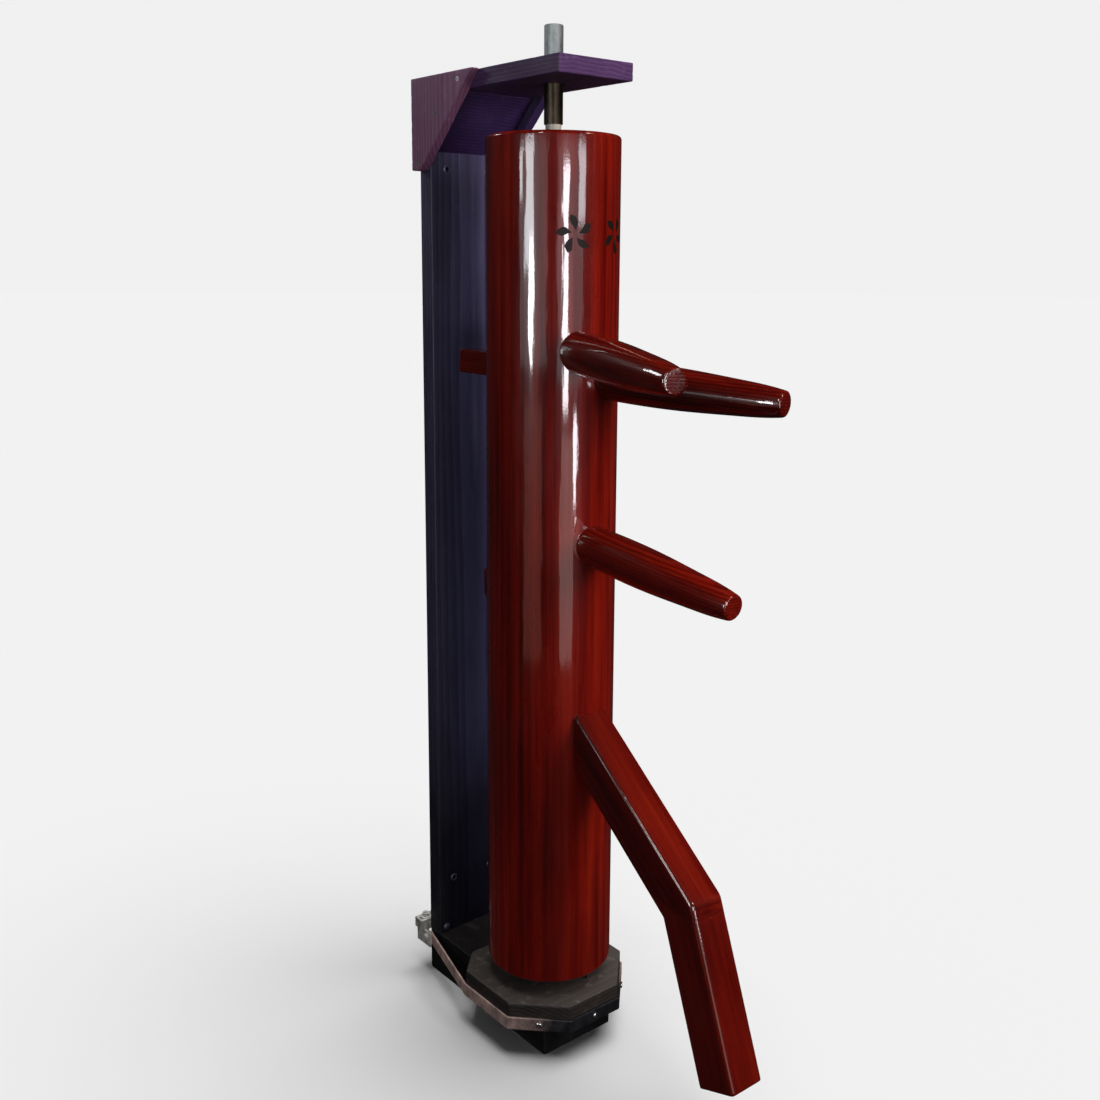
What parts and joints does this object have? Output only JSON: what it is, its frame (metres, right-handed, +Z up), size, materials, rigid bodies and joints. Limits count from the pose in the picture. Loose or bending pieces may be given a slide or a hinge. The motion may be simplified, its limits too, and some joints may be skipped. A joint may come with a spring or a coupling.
{
  "type": "wooden wing dummy on wall stand",
  "caption": "Wing-style wooden training dummy: lacquered trunk with arms and a bent leg, turning on pipe pivots in a floor-standing wall stand.",
  "frame": {"origin": "on the floor, on the trunk's axis", "axes": "+Z up along the trunk's axis, arms point to -Y, the back post and wall are on +Y, the dummy's own right is -X"},
  "size_m": [0.282, 0.8198, 1.815],
  "materials": {
    "lacquered_wood": "gloss red mahogany lacquer, straight grain",
    "stained_board": "blue-purple stained softwood, satin",
    "black_timber": "near-black stained timber, satin, dusty",
    "galvanised": "galvanised, lightly worn",
    "pipe_steel": "galvanised pipe, oiled and worn below the shelf",
    "strap_steel": "bare flat bar, scuffed edges",
    "cast_flange": "black malleable iron",
    "nylon": "off-white nylon",
    "zinc_screws": "zinc plated screw heads",
    "peg_wood": "hardwood dowel, oiled"
  },
  "bodies": {
    "stand": {"back_post": "stained_board", "top_shelf": "stained_board", "gusset_right": "stained_board", "gusset_left": "stained_board", "diagonal_brace": "stained_board", "base_beam": "black_timber", "octagon_block": "black_timber", "wall_channel": "galvanised", "channel_nuts": "galvanised", "tie_bracket_right": "galvanised", "tie_bracket_left": "galvanised", "fitting_nuts": "galvanised", "fitting_bolts": "galvanised", "channel_bolts": "galvanised", "bottom_pivot_pipe": "pipe_steel", "thrust_washer": "pipe_steel", "tie_strap": "strap_steel", "floor_flange": "cast_flange", "gusset_screws": "zinc_screws", "shelf_screws": "zinc_screws", "block_screws": "zinc_screws", "beam_screws": "zinc_screws", "strap_screws": "zinc_screws", "flange_screws": "zinc_screws", "wall_washers": "zinc_screws"},
    "trunk_body": {"trunk": "lacquered_wood", "top_rod": "pipe_steel", "top_sleeve": "nylon", "bottom_bush": "nylon"},
    "right_arm_body": {"upper_arm_right": "lacquered_wood"},
    "left_arm_body": {"upper_arm_left": "lacquered_wood"},
    "lower_arm_body": {"lower_arm": "lacquered_wood"},
    "leg_body": {"leg": "lacquered_wood"},
    "right_peg_body": {"upper_peg_right": "peg_wood"},
    "left_peg_body": {"upper_peg_left": "peg_wood"},
    "lower_peg_body": {"lower_peg": "peg_wood"},
    "leg_peg_body": {"leg_peg": "peg_wood"},
    "pipe_body": {"top_pivot_pipe": "pipe_steel"}
  },
  "joints": [
    {"name": "trunk_turn", "type": "hinge", "parent": "stand", "child": "trunk_body", "pos_m": [0, 0, 0], "axis": [0, 0, 1], "range_deg": [-115, 115]},
    {"name": "right_arm_play", "type": "slide", "parent": "trunk_body", "child": "right_arm_body", "axis": [-0.2751, -0.9595, -0.061], "range_m": [0, 0.006]},
    {"name": "left_arm_play", "type": "slide", "parent": "trunk_body", "child": "left_arm_body", "axis": [0.2751, -0.9595, -0.061], "range_m": [0, 0.006]},
    {"name": "lower_arm_play", "type": "slide", "parent": "trunk_body", "child": "lower_arm_body", "axis": [0, -0.9934, -0.1149], "range_m": [0, 0.006]},
    {"name": "leg_play", "type": "slide", "parent": "trunk_body", "child": "leg_body", "axis": [-0.0138, -0.7879, -0.6157], "range_m": [0, 0.006]},
    {"name": "right_peg_pull", "type": "slide", "parent": "right_arm_body", "child": "right_peg_body", "axis": [0, 0, 1], "range_m": [0, 0.06]},
    {"name": "left_peg_pull", "type": "slide", "parent": "left_arm_body", "child": "left_peg_body", "axis": [0, 0, 1], "range_m": [0, 0.06]},
    {"name": "lower_peg_pull", "type": "slide", "parent": "lower_arm_body", "child": "lower_peg_body", "axis": [0, 0, 1], "range_m": [0, 0.06]},
    {"name": "leg_peg_pull", "type": "slide", "parent": "leg_body", "child": "leg_peg_body", "axis": [-0.9998, 0.0175, 0], "range_m": [0, 0.06]},
    {"name": "pipe_lift", "type": "slide", "parent": "stand", "child": "pipe_body", "axis": [0, 0, 1], "range_m": [-0.018, 0.055]}
  ]
}
